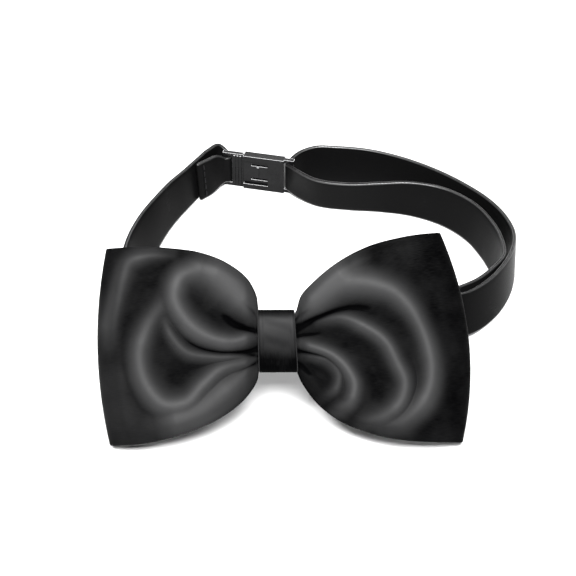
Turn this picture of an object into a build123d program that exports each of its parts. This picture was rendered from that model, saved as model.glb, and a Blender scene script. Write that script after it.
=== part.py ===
from build123d import *
import os
from math import cos, hypot, pi, radians, sin

# Ready-tied satin bow tie on an adjustable neck band with a slide-in clip. Millimetres, +Z up.
# The origin is the middle of the neck loop, on the surface that the tie rests on. The bow is at the
# front (-Y) and leans back, its lower wing corners on the surface; the band stands on its edge.

os.makedirs("parts", exist_ok=True)

# ---- driving dimensions -------------------------------------------------------------------------
BOW_LEAN = 38.0  # degrees from upright, leaning back
KNOT_CENTRE = Vector(-14.0, -73.0, 28.6)
CLOTH = 1.5  # flattened satin tube with its stiffener
STIFFENER = 0.6
HEM = 1.3  # satin beyond the stiffener along a folded edge
LEFT_TIPS = (54.0, 57.6, 55.2)  # reach of the left wing at its bottom, middle and top
RIGHT_TIPS = (60.8, 62.4, 53.8)
FRONT_SWELL = 5.5  # how far each wing's front stands out
BACK_SWELL = 3.4
PINCH = 1.2  # half the depth of the pinched middle, to the middle of the cloth
OUTLINE_REACH = 14  # how far the bow's outline is cut through it, each way
SECTION_HEIGHTS = (-36, 0, 36)  # up the bow, where its loop is laid out
THREAD_LOOP = (17.8, 5.7)  # height and depth of the gathering thread's turns
THREAD_TURNS = (-1.2, 0, 1.2)  # places of its turns across the middle
WRAP_HALF_WIDTH = 6.25
WRAP_THICKNESS = 1.3
WRAP_HALF_HEIGHT = 10.3
WRAP_CORNER = 2.4  # outer radius of its four bends
WRAP_FRONT = 4.9  # depths in front of the bow's middle
WRAP_BACK = -6.9
WRAP_SEAM = 0.3  # gap between its two ends, at the back
WRAP_STIFFENER = (0.35, 0.95)  # depths of the stiffener's two faces inside the wrap
BAND_WIDTH = 16.0
BAND = 1.6  # thickness
LOOP_WIDTH = 11.4  # the band narrows where it goes round a bar
BAND_BEHIND_KNOT = -4.4  # depth of the band's middle behind the bow's middle
BAR_RADIUS = 0.9
BAR_CLEARANCE = 0.15
BAR_TURN = BAR_RADIUS + BAR_CLEARANCE + BAND / 2  # radius of the band's middle round a bar
CLIP_HEIGHT = 14.6
CLIP_YAW = 14.0
HOOK_BAR = -13.8  # places along the clip, from its middle
SOCKET_BAR = 12.5
RAIL = 2.1  # height of each of the socket's rails
RUNNING_GAP = 0.2
THREAD = 0.3
CONTACT_GAP = 0.02
STITCH_STAND_OFF = 0.1  # how far a band's stitches stand clear of its face
SEAM_STITCH = (2.4, 0.45)  # length and width
SEAM_PITCH = 1.7
SEAM_SLANT = 80
TACK_STITCH = (3.0, 0.45)
TACK_PITCH = 2.5
BAND_STITCH = (2.0, 0.45)
BAND_STITCH_PITCH = 2.8

# ---- frames -------------------------------------------------------------------------------------
BOW_UP = Vector(0, sin(radians(BOW_LEAN)), cos(radians(BOW_LEAN)))
BOW_FRONT = Vector(0, -cos(radians(BOW_LEAN)), sin(radians(BOW_LEAN)))
BOW_FACE = Plane(origin=KNOT_CENTRE, x_dir=(1, 0, 0), z_dir=BOW_FRONT)
BOW_SIDE = Plane(origin=KNOT_CENTRE, x_dir=BOW_UP, z_dir=(1, 0, 0))
CLIP_ALONG = Vector(cos(radians(CLIP_YAW)), -sin(radians(CLIP_YAW)), 0)
CLIP_FRONT = Vector(-sin(radians(CLIP_YAW)), -cos(radians(CLIP_YAW)), 0)
CLIP_CENTRE = Vector(-20.2, 59.4, CLIP_HEIGHT / 2 + 0.2)
CLIP = Plane(origin=CLIP_CENTRE, x_dir=CLIP_ALONG, z_dir=CLIP_FRONT)


# ---- the bow ------------------------------------------------------------------------------------
def loop_path(left_tip, right_tip, quarter_steps=6):
    """Middle of the cloth loop seen from above: from the back's middle, round each wing, and back."""
    start = 0.5 / right_tip
    angles = [start + (pi / 2 - start) * i / quarter_steps for i in range(quarter_steps + 1)]

    def quarter(tip, swell, steps):
        return [(tip * sin(a), cos(a) * (PINCH + 2 * swell * sin(a))) for a in steps]

    back_right = quarter(right_tip, BACK_SWELL, angles)
    front_right = [(x, -y) for x, y in quarter(right_tip, FRONT_SWELL, angles[-2:0:-1])]
    front_left = [(-x, -y) for x, y in quarter(left_tip, FRONT_SWELL, angles[1:-1])]
    back_left = [(-x, y) for x, y in quarter(left_tip, BACK_SWELL, angles[::-1])]
    return back_right + front_right + [(0, -PINCH)] + front_left + back_left


def beside(points, distance):
    """The same line moved sideways by a distance."""
    moved = []
    for i, (x, y) in enumerate(points):
        before, after = points[max(i - 1, 0)], points[min(i + 1, len(points) - 1)]
        run_x, run_y = after[0] - before[0], after[1] - before[1]
        length = hypot(run_x, run_y)
        moved.append((x - distance * run_y / length, y + distance * run_x / length))
    return moved


# The bow's edges from the front, from the pinched middle outwards, past the folds at the outer ends.
LEFT_TOP = [(-6.5, 8.4), (-7.6, 16.5), (-16, 24.5), (-25, 28), (-36, 29.6), (-64, 29.4)]
RIGHT_TOP = [(6.5, 8.4), (8.6, 15.0), (14, 20.2), (21.5, 25.8), (30.5, 30.3), (40, 32.8), (66, 35.4)]
LEFT_BOTTOM = [(-6.5, -8.4), (-7.6, -14.8), (-19, -24.4), (-28, -28.4), (-41, -32), (-64, -33.6)]
RIGHT_BOTTOM = [(6.5, -8.4), (9, -14.4), (14, -20.6), (21.5, -26.1), (30.5, -29.3), (66, -33.2)]


def lowered(points, inset):
    """An edge moved in towards the bow's middle height."""
    return [(x, y - inset if y > 0 else y + inset) for x, y in points]


def bow_loop(thickness, inset):
    """The loop of cloth that makes both wings, cut to the bow's outline."""
    levels = []
    for height, left_tip, right_tip in zip(SECTION_HEIGHTS, LEFT_TIPS, RIGHT_TIPS):
        path = loop_path(left_tip - CLOTH / 2, right_tip - CLOTH / 2)
        inner, outer = beside(path, thickness / 2), beside(path, -thickness / 2)
        at_height = Plane(origin=KNOT_CENTRE + BOW_UP * height, x_dir=(1, 0, 0), z_dir=BOW_UP)
        with BuildSketch(at_height) as level:
            with BuildLine():
                Spline(*inner)
                Line(inner[-1], outer[-1])
                Spline(*outer)
                Line(outer[0], inner[0])
            make_face()
        levels.append(level.sketch)
    loft(levels)
    left_top, left_bottom = lowered(LEFT_TOP, inset), lowered(LEFT_BOTTOM, inset)
    right_top, right_bottom = lowered(RIGHT_TOP, inset), lowered(RIGHT_BOTTOM, inset)
    with BuildSketch(BOW_FACE) as outline:
        with BuildLine():
            for edge in (left_top, left_bottom, right_bottom, right_top):
                Spline(*edge)
            Line(left_top[0], right_top[0])
            Line(left_bottom[0], right_bottom[0])
            Line(left_top[-1], left_bottom[-1])
            Line(right_bottom[-1], right_top[-1])
        make_face()
    extrude(outline.sketch, amount=OUTLINE_REACH, both=True, mode=Mode.INTERSECT)


with BuildPart() as bow_interlining:
    bow_loop(STIFFENER, HEM)

with BuildPart() as bow_cover:
    bow_loop(CLOTH, 0)
    add(bow_interlining.part, mode=Mode.SUBTRACT)

with BuildPart() as bow_gather_thread:
    for turn in THREAD_TURNS:
        with BuildSketch(BOW_SIDE.offset(turn)):
            Rectangle(*THREAD_LOOP)
            Rectangle(THREAD_LOOP[0] - 2 * THREAD, THREAD_LOOP[1] - 2 * THREAD, mode=Mode.SUBTRACT)
        extrude(amount=THREAD / 2, both=True)


# ---- the wrap round the bow's middle ------------------------------------------------------------
def wrap_ring(outside, inside, half_width):
    """A strip bent round the middle, open at its back seam; the figures are depths into the wrap."""
    height, depth = 2 * WRAP_HALF_HEIGHT, WRAP_FRONT - WRAP_BACK
    with BuildSketch(BOW_SIDE) as ring:
        with Locations((0, (WRAP_FRONT + WRAP_BACK) / 2)):
            RectangleRounded(height - 2 * outside, depth - 2 * outside, WRAP_CORNER - outside)
            RectangleRounded(
                height - 2 * inside, depth - 2 * inside, WRAP_CORNER - inside, mode=Mode.SUBTRACT
            )
        with Locations((0, WRAP_BACK)):
            Rectangle(WRAP_SEAM, 4 * WRAP_THICKNESS, mode=Mode.SUBTRACT)
    extrude(ring.sketch, amount=half_width, both=True)


with BuildPart() as knot_interlining:
    wrap_ring(*WRAP_STIFFENER, WRAP_HALF_WIDTH - HEM)

with BuildPart() as knot_wrap:
    wrap_ring(0, WRAP_THICKNESS, WRAP_HALF_WIDTH)
    add(knot_interlining.part, mode=Mode.SUBTRACT)

with BuildPart() as knot_closing_stitches:
    with BuildSketch(BOW_FACE.offset(WRAP_BACK - THREAD)):
        with GridLocations(SEAM_PITCH, 0, 6, 1):
            SlotOverall(*SEAM_STITCH, rotation=SEAM_SLANT)
    extrude(amount=THREAD - CONTACT_GAP)

with BuildPart() as band_tack_stitches:
    with BuildSketch(BOW_FACE.offset(BAND_BEHIND_KNOT - BAND / 2 - THREAD)):
        with GridLocations(0, TACK_PITCH, 1, 6):
            SlotOverall(*TACK_STITCH)
    extrude(amount=THREAD - CONTACT_GAP)


# ---- the neck band ------------------------------------------------------------------------------
def behind_knot(along, depth=BAND_BEHIND_KNOT):
    """The band's lower edge where it lies parallel to the bow, behind it."""
    edge = KNOT_CENTRE + Vector(along, 0, 0) - BOW_UP * (BAND_WIDTH / 2) + BOW_FRONT * depth
    return (edge.X, edge.Y, edge.Z, -BOW_LEAN, BAND_WIDTH)


def standing(x, y, lean):
    """The band's lower edge where it stands on the surface."""
    return (x, y, BAND / 2 * abs(sin(radians(lean))), lean, BAND_WIDTH)


def round_bar(place, angle):
    """The band's lower edge on its way round one of the clip's bars; at 90 degrees it is in front."""
    edge = CLIP_CENTRE + CLIP_ALONG * (place + BAR_TURN * cos(radians(angle)))
    edge += CLIP_FRONT * (BAR_TURN * sin(radians(angle)))
    return (edge.X, edge.Y, CLIP_CENTRE.Z - LOOP_WIDTH / 2, 0, LOOP_WIDTH)


def band_sections(stations, left_is_out):
    """A plane and a width at each station (x, y, z, lean, width) of the band's lower edge. The lean is
    in degrees, towards the left of the run's direction if left_is_out, or else towards its right."""

    def direction(points, i):
        return (points[min(i + 1, len(points) - 1)] - points[max(i - 1, 0)]).normalized()

    edges = [Vector(*station[:3]) for station in stations]
    ups, middles = [], []
    for i, (_, _, _, lean, width) in enumerate(stations):
        run = direction(edges, i)
        side = Vector(-run.Y, run.X, 0).normalized() * (1 if left_is_out else -1)
        ups.append(Vector(0, 0, cos(radians(lean))) + side * sin(radians(lean)))
        middles.append(edges[i] + ups[i] * (width / 2))
    sections = []
    for i, up in enumerate(ups):
        run = direction(middles, i)
        up = (up - run * up.dot(run)).normalized()
        plane = Plane(origin=middles[i], x_dir=up.cross(run), z_dir=run)
        sections.append((plane, stations[i][4]))
    return sections


def band_loft(sections, thickness, hem):
    """A flat strip through its sections, made span by span."""
    outlines = []
    for plane, width in sections:
        with BuildSketch(plane) as outline:
            Rectangle(thickness, width - 2 * hem)
        outlines.append(outline.sketch)
    for span in zip(outlines, outlines[1:]):
        loft(span, ruled=True)


# Left: from the knot round to the hook's bar, round it, and back along the inside to the sewn end.
left_stations = [
    behind_knot(-0.15),
    behind_knot(-6.8),
    behind_knot(-9),
    behind_knot(-17, -8.4),
    (-40, -64.4, 11.6, -26, BAND_WIDTH),
    (-49.3, -55.2, 7.2, -12, BAND_WIDTH),
    (-56.8, -41.8, 2.8, 3, BAND_WIDTH),
    (-61.2, -27.0, 0.7, 14, BAND_WIDTH),
    standing(-63.0, -12.0, 22),
    standing(-61.6, 3.0, 25),
    standing(-58.4, 17.5, 23),
    standing(-54.4, 31.0, 15),
    standing(-50.9, 39.4, 12),
    standing(-47.2, 47.0, 8),
    standing(-42.2, 57.0, 5),
    (-39.3, 62.1, 0.6, 3, BAND_WIDTH - 0.8),
    (-36.9, 65.4, 1.4, 1, BAND_WIDTH - 2.8),
    round_bar(HOOK_BAR, -90),
    round_bar(HOOK_BAR, -45),
    round_bar(HOOK_BAR, 0),
    round_bar(HOOK_BAR, 45),
    round_bar(HOOK_BAR, 90),
    (-35.0, 60.2, CLIP_CENTRE.Z - LOOP_WIDTH / 2, 0, LOOP_WIDTH),
    (-36.9, 58.1, 0.9, -2, BAND_WIDTH - 1.8),
    standing(-39.4, 54.9, -4),
    standing(-42.8, 51.3, -6),
]
left_sections = band_sections(left_stations, left_is_out=True)

# Right: the outer run has one straight stretch, which the slider runs along.
SLIDE_START = Vector(8.5, -67.2, 14.6)
SLIDE_END = Vector(47.0, -40.0, 2.7)
SLIDE_LEAN = 26
slide_along = (SLIDE_END - SLIDE_START).normalized()
slide_length = (SLIDE_END - SLIDE_START).length
away = Vector(slide_along.Y, -slide_along.X, 0).normalized()
slide_up = Vector(0, 0, cos(radians(SLIDE_LEAN))) - away * sin(radians(SLIDE_LEAN))
slide_up = (slide_up - slide_along * slide_up.dot(slide_along)).normalized()
slide_inward = slide_up.cross(slide_along)
slider_centre = SLIDE_START + slide_along * (slide_length / 2) + slide_up * (BAND_WIDTH / 2)
SLIDE_BENDS = (4, 5)  # where the straight stretch starts and ends in the list below

outer_stations = [
    behind_knot(0.15),
    behind_knot(6.8),
    behind_knot(9),
    behind_knot(17, -8.4),
    (*SLIDE_START, -SLIDE_LEAN, BAND_WIDTH),
    (*SLIDE_END, -SLIDE_LEAN, BAND_WIDTH),
    (55.4, -33.2, 0.8, -19, BAND_WIDTH),
    standing(62.8, -24.2, -13),
    standing(68.0, -14.2, -8),
    standing(71.2, -3.3, -3),
    standing(72.1, 6.0, -1),
    standing(69.8, 17.0, 0),
    standing(65.0, 27.2, 0),
    standing(56.5, 38.2, 0),
    standing(45.4, 48.8, 0),
    standing(33.0, 57.0, 0),
    standing(21.0, 62.2, 0),
    standing(9.0, 64.4, 0),
    standing(0.5, 64.4, 0),
    (-4.8, 62.2, 0.8, 0, BAND_WIDTH - 1.6),
    round_bar(SOCKET_BAR, 202),
    round_bar(SOCKET_BAR, 171),
    round_bar(SOCKET_BAR, 140),
]
TAIL_DEPTH = BAND + 0.25  # depths inwards from the outer run's middle
SLIDER_BAR_DEPTH = TAIL_DEPTH + BAR_TURN
RETURN_DEPTH = TAIL_DEPTH + 2 * BAR_TURN
TAIL_LIFTS = 4.5  # along from the slider's middle, where the tail starts towards the return run
TAIL_LIES = (8.5, 14)  # along, where it lies against the return run


def before_slider(along):
    """The return run's lower edge on its way to the slider, beside the straight stretch."""
    edge = slider_centre + slide_along * along + slide_inward * RETURN_DEPTH - slide_up * (BAND_WIDTH / 2)
    return (edge.X, edge.Y, edge.Z, SLIDE_LEAN, BAND_WIDTH)


def at_slider(along, inward, angle):
    """A section of the band near the slider's middle bar, its direction turned by an angle."""
    run = slide_along * -cos(radians(angle)) - slide_inward * sin(radians(angle))
    origin = slider_centre + slide_along * along + slide_inward * inward
    return (Plane(origin=origin, x_dir=slide_up.cross(run), z_dir=run), BAND_WIDTH)


def round_slider_bar(angle):
    """A section of the band on its way round the slider's middle bar."""
    along = -BAR_TURN * sin(radians(angle))
    return at_slider(along, SLIDER_BAR_DEPTH + BAR_TURN * cos(radians(angle)), angle)


return_stations = [
    (-5.2, 51.4, 0.8, 10, BAND_WIDTH - 1.2),
    standing(2.0, 46.8, 17),
    standing(13.4, 44.2, 18),
    standing(24.9, 42.9, 13),
    standing(36.3, 40.2, 7),
    standing(47.6, 33.8, 4),
    standing(56.7, 23.4, 3),
    standing(60.9, 13.4, 1),
    standing(63.6, 3.0, 0),
    standing(65.8, -7.0, 0),
    standing(64.1, -15.6, 7),
    standing(59.2, -23.2, 12),
    (50.0, -31.8, 0.9, 19, BAND_WIDTH),
    before_slider(15),
    before_slider(8),
    before_slider(0),
]
right_sections = band_sections(outer_stations + return_stations, left_is_out=False)
for bend, distance in zip(SLIDE_BENDS, (-slide_length / 2, slide_length / 2)):
    middle = slider_centre + slide_along * distance
    right_sections[bend] = (Plane(origin=middle, x_dir=slide_inward, z_dir=slide_along), BAND_WIDTH)
outer_sections = right_sections[: len(outer_stations)]
return_sections = right_sections[len(outer_stations) - 1 : -1]
return_sections += [round_slider_bar(angle) for angle in (0, 45, 90, 135, 180)]
return_sections += [at_slider(TAIL_LIFTS, TAIL_DEPTH + 0.3, 180)]
return_sections += [at_slider(along, RETURN_DEPTH - BAND - BAR_CLEARANCE, 180) for along in TAIL_LIES]

with BuildPart() as left_band_interlining:
    band_loft(left_sections, STIFFENER, HEM)

with BuildPart() as left_band:
    band_loft(left_sections, BAND, 0)
    add(left_band_interlining.part, mode=Mode.SUBTRACT)

with BuildPart() as right_band_interlining:
    band_loft(outer_sections, STIFFENER, HEM)

with BuildPart() as right_band:
    band_loft(outer_sections, BAND, 0)
    add(right_band_interlining.part, mode=Mode.SUBTRACT)

with BuildPart() as right_return_interlining:
    band_loft(return_sections, STIFFENER, HEM)

with BuildPart() as right_band_return:
    band_loft(return_sections, BAND, 0)
    add(right_return_interlining.part, mode=Mode.SUBTRACT)


def stitch_row(centre, width_dir, face_dir):
    """Five stitches across the band, standing just proud of the face they are sewn through."""
    start = centre + face_dir * (BAND / 2 + STITCH_STAND_OFF)
    with BuildSketch(Plane(origin=start, x_dir=width_dir, z_dir=face_dir)) as row:
        with GridLocations(BAND_STITCH_PITCH, 0, 5, 1):
            SlotOverall(*BAND_STITCH)
    extrude(row.sketch, amount=THREAD)


FOLD_STITCHES_IN = 2.0  # from the folded end of the left band
SLIDER_STITCHES_AT = 9.5  # along from the slider's middle
fold_plane = left_sections[-1][0]
with BuildPart() as left_fold_stitches:
    sewn = fold_plane.origin - fold_plane.z_dir * FOLD_STITCHES_IN
    stitch_row(sewn, fold_plane.y_dir, fold_plane.x_dir)

with BuildPart() as slider_end_stitches:
    sewn = slider_centre + slide_along * SLIDER_STITCHES_AT + slide_inward * RETURN_DEPTH
    stitch_row(sewn, slide_up, slide_inward)


# ---- the clip -----------------------------------------------------------------------------------
HALF_HEIGHT = CLIP_HEIGHT / 2
FRAME_RAIL = 1.4  # height of the rails either side of a strap slot
HOOK_PLATE = (-11.0, -6.7)  # from and to, along the clip
SOCKET_BODY = (-6.4, 9.6)
TONGUE_TIP = 7.9
TONGUE_BACK = -0.9  # depths from the clip's middle plane
TONGUE_FRONT = 0.7
SOCKET_BACK = -1.9
SOCKET_FRONT = 1.7
WALL = 0.8
BRIDGE_START = 3.3
HOOK_FRONT = 0.9
GRIP_RIBS = (-10.3, -9.1, -7.9)
FINGER_SLOT = 0.8  # width of the two slots that free the spring finger
FINGER_START = -3.5
FINGER_HALF = 2.7  # half the finger's width
THUMB_RIDGE = (-1.2, -0.4)


def slab(start, end, low, high, back, front, mode=Mode.ADD):
    """A block of the clip: from and to along it, up it, and through its depth."""
    with BuildSketch(CLIP.offset(back)) as block:
        with Locations(((start + end) / 2, (low + high) / 2)):
            Rectangle(end - start, high - low)
    extrude(block.sketch, amount=front - back, mode=mode)


def strap_frame(bar, body):
    """A round bar held between two short rails, which the band's loop goes round."""
    end = bar + (BAR_RADIUS if bar > body else -BAR_RADIUS)
    for low in (-HALF_HEIGHT, HALF_HEIGHT - FRAME_RAIL):
        slab(min(end, body), max(end, body), low, low + FRAME_RAIL, -BAR_RADIUS, BAR_RADIUS)
    foot = CLIP_CENTRE + CLIP_ALONG * bar - Vector(0, 0, HALF_HEIGHT)
    with BuildSketch(Plane(origin=foot)) as bar_end:
        Circle(BAR_RADIUS)
    extrude(bar_end.sketch, amount=CLIP_HEIGHT)


with BuildPart() as clip_hook:
    strap_frame(HOOK_BAR, HOOK_PLATE[0])
    slab(*HOOK_PLATE, -HALF_HEIGHT, HALF_HEIGHT, TONGUE_BACK, HOOK_FRONT)
    for rib in GRIP_RIBS:
        slab(rib, rib + 0.6, -HALF_HEIGHT + 0.7, HALF_HEIGHT - 0.7, HOOK_FRONT, HOOK_FRONT + 0.35)
    tongue_half = HALF_HEIGHT - RAIL - RUNNING_GAP
    slab(HOOK_PLATE[1], TONGUE_TIP, -tongue_half, tongue_half, TONGUE_BACK, TONGUE_FRONT)
    for low in (-FINGER_HALF - FINGER_SLOT, FINGER_HALF):
        slab(FINGER_START, TONGUE_TIP, low, low + FINGER_SLOT, TONGUE_BACK, TONGUE_FRONT, Mode.SUBTRACT)
    slab(*THUMB_RIDGE, -FINGER_HALF + 0.4, FINGER_HALF - 0.4, TONGUE_FRONT, TONGUE_FRONT + 0.4)

with BuildPart() as clip_socket:
    strap_frame(SOCKET_BAR, SOCKET_BODY[1])
    slab(*SOCKET_BODY, -HALF_HEIGHT, HALF_HEIGHT, SOCKET_BACK, SOCKET_BACK + WALL)
    for low in (-HALF_HEIGHT, HALF_HEIGHT - RAIL):
        slab(*SOCKET_BODY, low, low + RAIL, SOCKET_BACK, SOCKET_FRONT)
    slab(BRIDGE_START, SOCKET_BODY[1], -HALF_HEIGHT, HALF_HEIGHT, SOCKET_FRONT - WALL, SOCKET_FRONT)
    slab(TONGUE_TIP + RUNNING_GAP, SOCKET_BODY[1], -HALF_HEIGHT, HALF_HEIGHT, SOCKET_BACK, SOCKET_FRONT)

# ---- the slider ---------------------------------------------------------------------------------
SLIDER_HALF_LENGTH = 5.5
SLIDER_RAIL = 1.4
SLIDER_BAR = (1.6, 1.2)  # width and depth of its two outer bars
slider_half_width = BAND_WIDTH / 2 + RUNNING_GAP + SLIDER_RAIL
slider_outside = -BAND / 2 - BAR_CLEARANCE - SLIDER_BAR[1]
slider_plane = Plane(origin=slider_centre, x_dir=slide_along, z_dir=slide_inward)

with BuildPart() as band_slider:
    with BuildSketch(slider_plane.offset(slider_outside)):
        with GridLocations(0, 2 * slider_half_width - SLIDER_RAIL, 1, 2):
            Rectangle(2 * SLIDER_HALF_LENGTH, SLIDER_RAIL)
    extrude(amount=SLIDER_BAR_DEPTH + BAR_RADIUS - slider_outside)
    with BuildSketch(slider_plane.offset(slider_outside)):
        with GridLocations(2 * SLIDER_HALF_LENGTH - SLIDER_BAR[0], 0, 2, 1):
            Rectangle(SLIDER_BAR[0], 2 * slider_half_width)
    extrude(amount=SLIDER_BAR[1])
    bar_foot = slider_centre + slide_inward * SLIDER_BAR_DEPTH - slide_up * slider_half_width
    with BuildSketch(Plane(origin=bar_foot, z_dir=slide_up)):
        Circle(BAR_RADIUS)
    extrude(amount=2 * slider_half_width)

nodes = {
    "bow_cover": bow_cover,
    "bow_interlining": bow_interlining,
    "bow_gather_thread": bow_gather_thread,
    "knot_wrap": knot_wrap,
    "knot_interlining": knot_interlining,
    "knot_closing_stitches": knot_closing_stitches,
    "band_tack_stitches": band_tack_stitches,
    "left_band": left_band,
    "left_band_interlining": left_band_interlining,
    "left_fold_stitches": left_fold_stitches,
    "right_band": right_band,
    "right_band_interlining": right_band_interlining,
    "right_band_return": right_band_return,
    "right_return_interlining": right_return_interlining,
    "slider_end_stitches": slider_end_stitches,
    "clip_hook": clip_hook,
    "clip_socket": clip_socket,
    "band_slider": band_slider,
}
for name, builder in nodes.items():
    builder.part.label = name
    export_step(builder.part, f"parts/{name}.step")
print("slider axis", slide_along, "slider centre", slider_centre, "stretch", slide_length)
print("clip axis", CLIP_ALONG)
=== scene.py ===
from math import cos, pi, radians, sin

import bmesh
import bpy
import numpy as np
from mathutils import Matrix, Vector


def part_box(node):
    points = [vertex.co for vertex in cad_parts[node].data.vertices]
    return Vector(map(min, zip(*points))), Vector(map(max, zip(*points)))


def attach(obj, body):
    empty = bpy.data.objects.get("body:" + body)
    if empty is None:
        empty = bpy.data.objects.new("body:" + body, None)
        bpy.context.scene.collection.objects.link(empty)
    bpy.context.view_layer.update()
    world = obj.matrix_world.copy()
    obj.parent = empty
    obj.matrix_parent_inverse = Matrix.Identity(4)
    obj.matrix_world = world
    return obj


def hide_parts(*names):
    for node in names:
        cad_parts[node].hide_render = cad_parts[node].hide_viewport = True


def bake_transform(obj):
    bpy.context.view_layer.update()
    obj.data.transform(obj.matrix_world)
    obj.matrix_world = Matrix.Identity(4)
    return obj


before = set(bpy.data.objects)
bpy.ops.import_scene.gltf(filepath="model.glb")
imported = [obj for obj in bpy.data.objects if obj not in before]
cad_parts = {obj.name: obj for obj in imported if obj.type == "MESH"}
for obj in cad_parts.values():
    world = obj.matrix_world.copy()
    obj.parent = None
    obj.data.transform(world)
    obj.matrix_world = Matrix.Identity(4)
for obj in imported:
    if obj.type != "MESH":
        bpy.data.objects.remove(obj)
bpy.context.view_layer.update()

# The looks of a ready-tied satin bow tie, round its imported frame. Shapes are worked out in millimetres
# and written to the meshes in metres.
MM = 0.001

# ---- driving dimensions, as in the part's source ------------------------------------------------
BOW_LEAN = 38
CLOTH = 1.3
BOW_STIFFENER = 0.24
KNOT_STIFFENER = 0.3
BAND_STIFFENER = 0.48
HEM = 1.4  # satin beyond the stiffener along a folded edge
LEFT_TIPS = (54.0, 57.9, 55.1)  # reach of the left wing's fold at its bottom, middle and top
RIGHT_TIPS = (59.7, 61.8, 52.9)
FRONT_SWELL = 5.2
BACK_SWELL = 3.2
PINCH = 1.1  # depth of the cloth's middle where the knot grips it
WRAP_HALF_WIDTH = 6.2
WRAP_THICKNESS = 1.2
WRAP_HALF_HEIGHT = 10.2
WRAP_FRONT = 4.9
WRAP_BACK = -6.9
BAND_WIDTH = 16.0
BAND = 1.5  # the band's thickness
LOOP_WIDTH = 11.4  # the band's width where it is pressed through the clip's strap slots
BAND_BEHIND_KNOT = -4.4
BAR_TURN = 1.85  # radius of a band's middle where it goes round a bar
CLIP_HEIGHT = 14.6
CLIP_YAW = 14
HOOK_BAR = -13.8
SOCKET_BAR = 12.5


def vec(*values):
    return np.array(values, float)


X = vec(1, 0, 0)
BOW_UP = vec(0, sin(radians(BOW_LEAN)), cos(radians(BOW_LEAN)))
BOW_FRONT = vec(0, -cos(radians(BOW_LEAN)), sin(radians(BOW_LEAN)))
CLIP_ALONG = vec(cos(radians(CLIP_YAW)), -sin(radians(CLIP_YAW)), 0)
CLIP_FRONT = vec(-sin(radians(CLIP_YAW)), -cos(radians(CLIP_YAW)), 0)


def box_centre(node):
    """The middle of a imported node's box, in millimetres."""
    low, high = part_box(node)
    return np.array((low + high) / 2) / MM


KNOT = box_centre("knot_wrap") - BOW_FRONT * (WRAP_FRONT + WRAP_BACK) / 2
CLIP_CENTRE = vec(-20.2, 59.4, CLIP_HEIGHT / 2 + 0.2)


# ---- curves -------------------------------------------------------------------------------------
def smooth_step(value, start, end):
    """Rises smoothly from 0 at the start to 1 at the end."""
    t = np.clip((np.asarray(value, float) - start) / (end - start), 0, 1)
    return t * t * (3 - 2 * t)


def unit(vectors):
    return vectors / np.maximum(np.linalg.norm(vectors, axis=-1, keepdims=True), 1e-9)


def spaced_out(points):
    """How far along its own straight runs each point of a line is."""
    return np.concatenate([[0], np.cumsum(np.linalg.norm(np.diff(points, axis=0), axis=1))])


def through(values, at, samples):
    """A smooth curve through values given at places, read at the samples."""
    values, at = np.asarray(values, float), np.asarray(at, float)
    gaps = np.diff(at)
    slopes = np.diff(values, axis=0) / gaps.reshape(-1, *[1] * (values.ndim - 1))
    weight = (gaps[:-1] / (gaps[:-1] + gaps[1:])).reshape(-1, *[1] * (values.ndim - 1))
    inner = slopes[:-1] * (1 - weight) + slopes[1:] * weight
    tangents = np.concatenate([slopes[:1], inner, slopes[-1:]])
    span = np.clip(np.searchsorted(at, samples, side="right") - 1, 0, len(gaps) - 1)
    t = ((samples - at[span]) / gaps[span]).reshape(-1, *[1] * (values.ndim - 1))
    gap = gaps[span].reshape(t.shape)
    start, end = values[span], values[span + 1]
    return (
        (2 * t**3 - 3 * t**2 + 1) * start
        + (t**3 - 2 * t**2 + t) * gap * tangents[span]
        + (3 * t**2 - 2 * t**3) * end
        + (t**3 - t**2) * gap * tangents[span + 1]
    )


def drawn(points, count=60):
    """A line drawn smoothly through a few points."""
    points = np.array(points, float)
    at = spaced_out(points)
    return through(points, at, np.linspace(0, at[-1], count))


# ---- cloth meshes -------------------------------------------------------------------------------
RIM_STEPS = 7  # points round each soft folded edge


def new_object(name, points, faces):
    """A smooth-shaded mesh object from points in millimetres."""
    mesh = bpy.data.meshes.new(name)
    mesh.from_pydata((np.asarray(points) * MM).tolist(), [], faces)
    obj = bpy.data.objects.new(name, mesh)
    bpy.context.scene.collection.objects.link(obj)
    working = bmesh.new()
    working.from_mesh(mesh)
    bmesh.ops.recalc_face_normals(working, faces=working.faces)
    working.to_mesh(mesh)
    working.free()
    mesh.polygons.foreach_set("use_smooth", [True] * len(mesh.polygons))
    return obj


def set_attribute(obj, name, kind, values):
    """Stores a value on every point of a mesh, for its material to read."""
    layer = obj.data.attributes.new(name, kind, "POINT")
    key = "vector" if kind == "FLOAT_VECTOR" else "value"
    layer.data.foreach_set(key, np.asarray(values, np.float32).ravel())


def rounded_end(grid, half, at_start):
    """Rows that close a strip's end with a soft fold."""
    end, inside = (grid[0], grid[1]) if at_start else (grid[-1], grid[-2])
    outward = unit(end - inside)
    angles = np.radians([35, 65, 85])
    rows = [end + outward * (half * sin(a)) for a in angles]
    thin = [cos(a) for a in angles]
    return (rows[::-1], thin[::-1]) if at_start else (rows, thin)


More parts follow.
